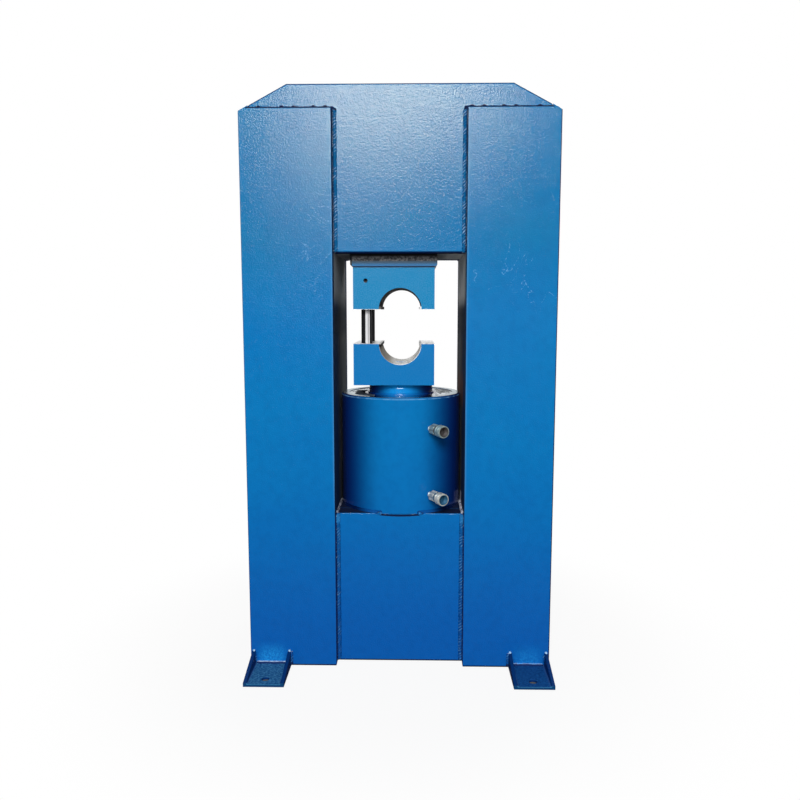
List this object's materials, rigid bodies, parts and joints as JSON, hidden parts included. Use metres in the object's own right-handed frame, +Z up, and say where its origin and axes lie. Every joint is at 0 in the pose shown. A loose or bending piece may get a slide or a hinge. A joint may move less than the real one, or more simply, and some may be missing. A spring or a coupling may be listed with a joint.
{
  "type": "hydraulic press",
  "caption": "Blue welded frame hydraulic swaging press with a short-stroke cylinder in its window, half-round die blocks on guide pins and threaded hose couplers.",
  "frame": {"origin": "on the floor at the middle of the base, under the ram's axis", "axes": "+Z up along the ram, -Y towards the front, +X to the right seen from the front"},
  "size_m": [0.72, 0.566, 1.361],
  "materials": {
    "blue_enamel": "gloss blue enamel with fine orange peel",
    "turned_steel": "bright turned",
    "bare_steel": "machined",
    "hard_chrome": "ground and polished",
    "bright_zinc": "bright zinc plate",
    "grey_zinc": "dull zinc plate",
    "black_oxide": "black oxide",
    "bronze": "bearing bronze",
    "black_rubber": "matt",
    "blue_scraper": "satin polyurethane"
  },
  "bodies": {
    "frame": {"left_front_column_plate": "blue_enamel", "right_front_column_plate": "blue_enamel", "left_rear_column_plate": "blue_enamel", "right_rear_column_plate": "blue_enamel", "left_outer_side_plate": "blue_enamel", "right_outer_side_plate": "blue_enamel", "left_window_wall": "blue_enamel", "right_window_wall": "blue_enamel", "crown_front_plate": "blue_enamel", "crown_rear_plate": "blue_enamel", "crown_bearing_plate": "blue_enamel", "crown_top_cover": "blue_enamel", "crown_left_rib": "blue_enamel", "crown_right_rib": "blue_enamel", "bed_front_plate": "blue_enamel", "bed_rear_plate": "blue_enamel", "bed_top_plate": "blue_enamel", "bed_left_rib": "blue_enamel", "bed_right_rib": "blue_enamel", "left_front_foot": "blue_enamel", "right_front_foot": "blue_enamel", "left_rear_foot": "blue_enamel", "right_rear_foot": "blue_enamel", "front_welds": "blue_enamel", "rear_welds": "blue_enamel", "bed_top_welds": "blue_enamel", "cylinder_barrel": "blue_enamel", "die_backing_plate": "blue_enamel", "upper_die": "blue_enamel", "cylinder_base": "bare_steel", "gland": "turned_steel", "rod_bush": "bronze", "rod_seal": "black_rubber", "wiper_ring": "blue_scraper", "gland_o_ring": "black_rubber", "upper_die_screw": "black_oxide", "front_guide_pin": "hard_chrome", "rear_guide_pin": "hard_chrome", "pin_set_screws": "black_oxide", "upper_coupler_nipple": "bright_zinc", "upper_coupler_body": "grey_zinc", "upper_coupler_spring": "bare_steel", "lower_coupler_nipple": "bright_zinc", "lower_coupler_body": "grey_zinc", "lower_coupler_spring": "bare_steel"},
    "ram": {"ram": "blue_enamel", "piston": "bare_steel", "piston_seal": "black_rubber", "piston_wear_rings": "bronze", "piston_nut": "bare_steel", "lower_die": "blue_enamel", "lower_die_screw": "black_oxide", "front_guide_bush": "bronze", "rear_guide_bush": "bronze"},
    "upper_sleeve": {"upper_coupler_sleeve": "grey_zinc"},
    "lower_sleeve": {"lower_coupler_sleeve": "grey_zinc"},
    "upper_poppet": {"upper_coupler_poppet": "bright_zinc"},
    "lower_poppet": {"lower_coupler_poppet": "bright_zinc"}
  },
  "joints": [
    {"name": "ram_slide", "type": "slide", "parent": "frame", "child": "ram", "axis": [0, 0, 1], "range_m": [0, 0.0812]},
    {"name": "upper_sleeve_turn", "type": "hinge", "parent": "frame", "child": "upper_sleeve", "pos_m": [0.09502, -0.17142, 0.575], "axis": [0.4848, -0.8746, 0], "continuous": true},
    {"name": "upper_poppet_press", "type": "slide", "parent": "frame", "child": "upper_poppet", "axis": [-0.4848, 0.8746, 0], "range_m": [0, 0.004], "stiffness_N_per_m": 1500, "springref_m": -0.004, "deforming": ["upper_coupler_spring"]},
    {"name": "lower_sleeve_turn", "type": "hinge", "parent": "frame", "child": "lower_sleeve", "pos_m": [0.09502, -0.17142, 0.4145], "axis": [0.4848, -0.8746, 0], "continuous": true},
    {"name": "lower_poppet_press", "type": "slide", "parent": "frame", "child": "lower_poppet", "axis": [-0.4848, 0.8746, 0], "range_m": [0, 0.004], "stiffness_N_per_m": 1500, "springref_m": -0.004, "deforming": ["lower_coupler_spring"]}
  ]
}
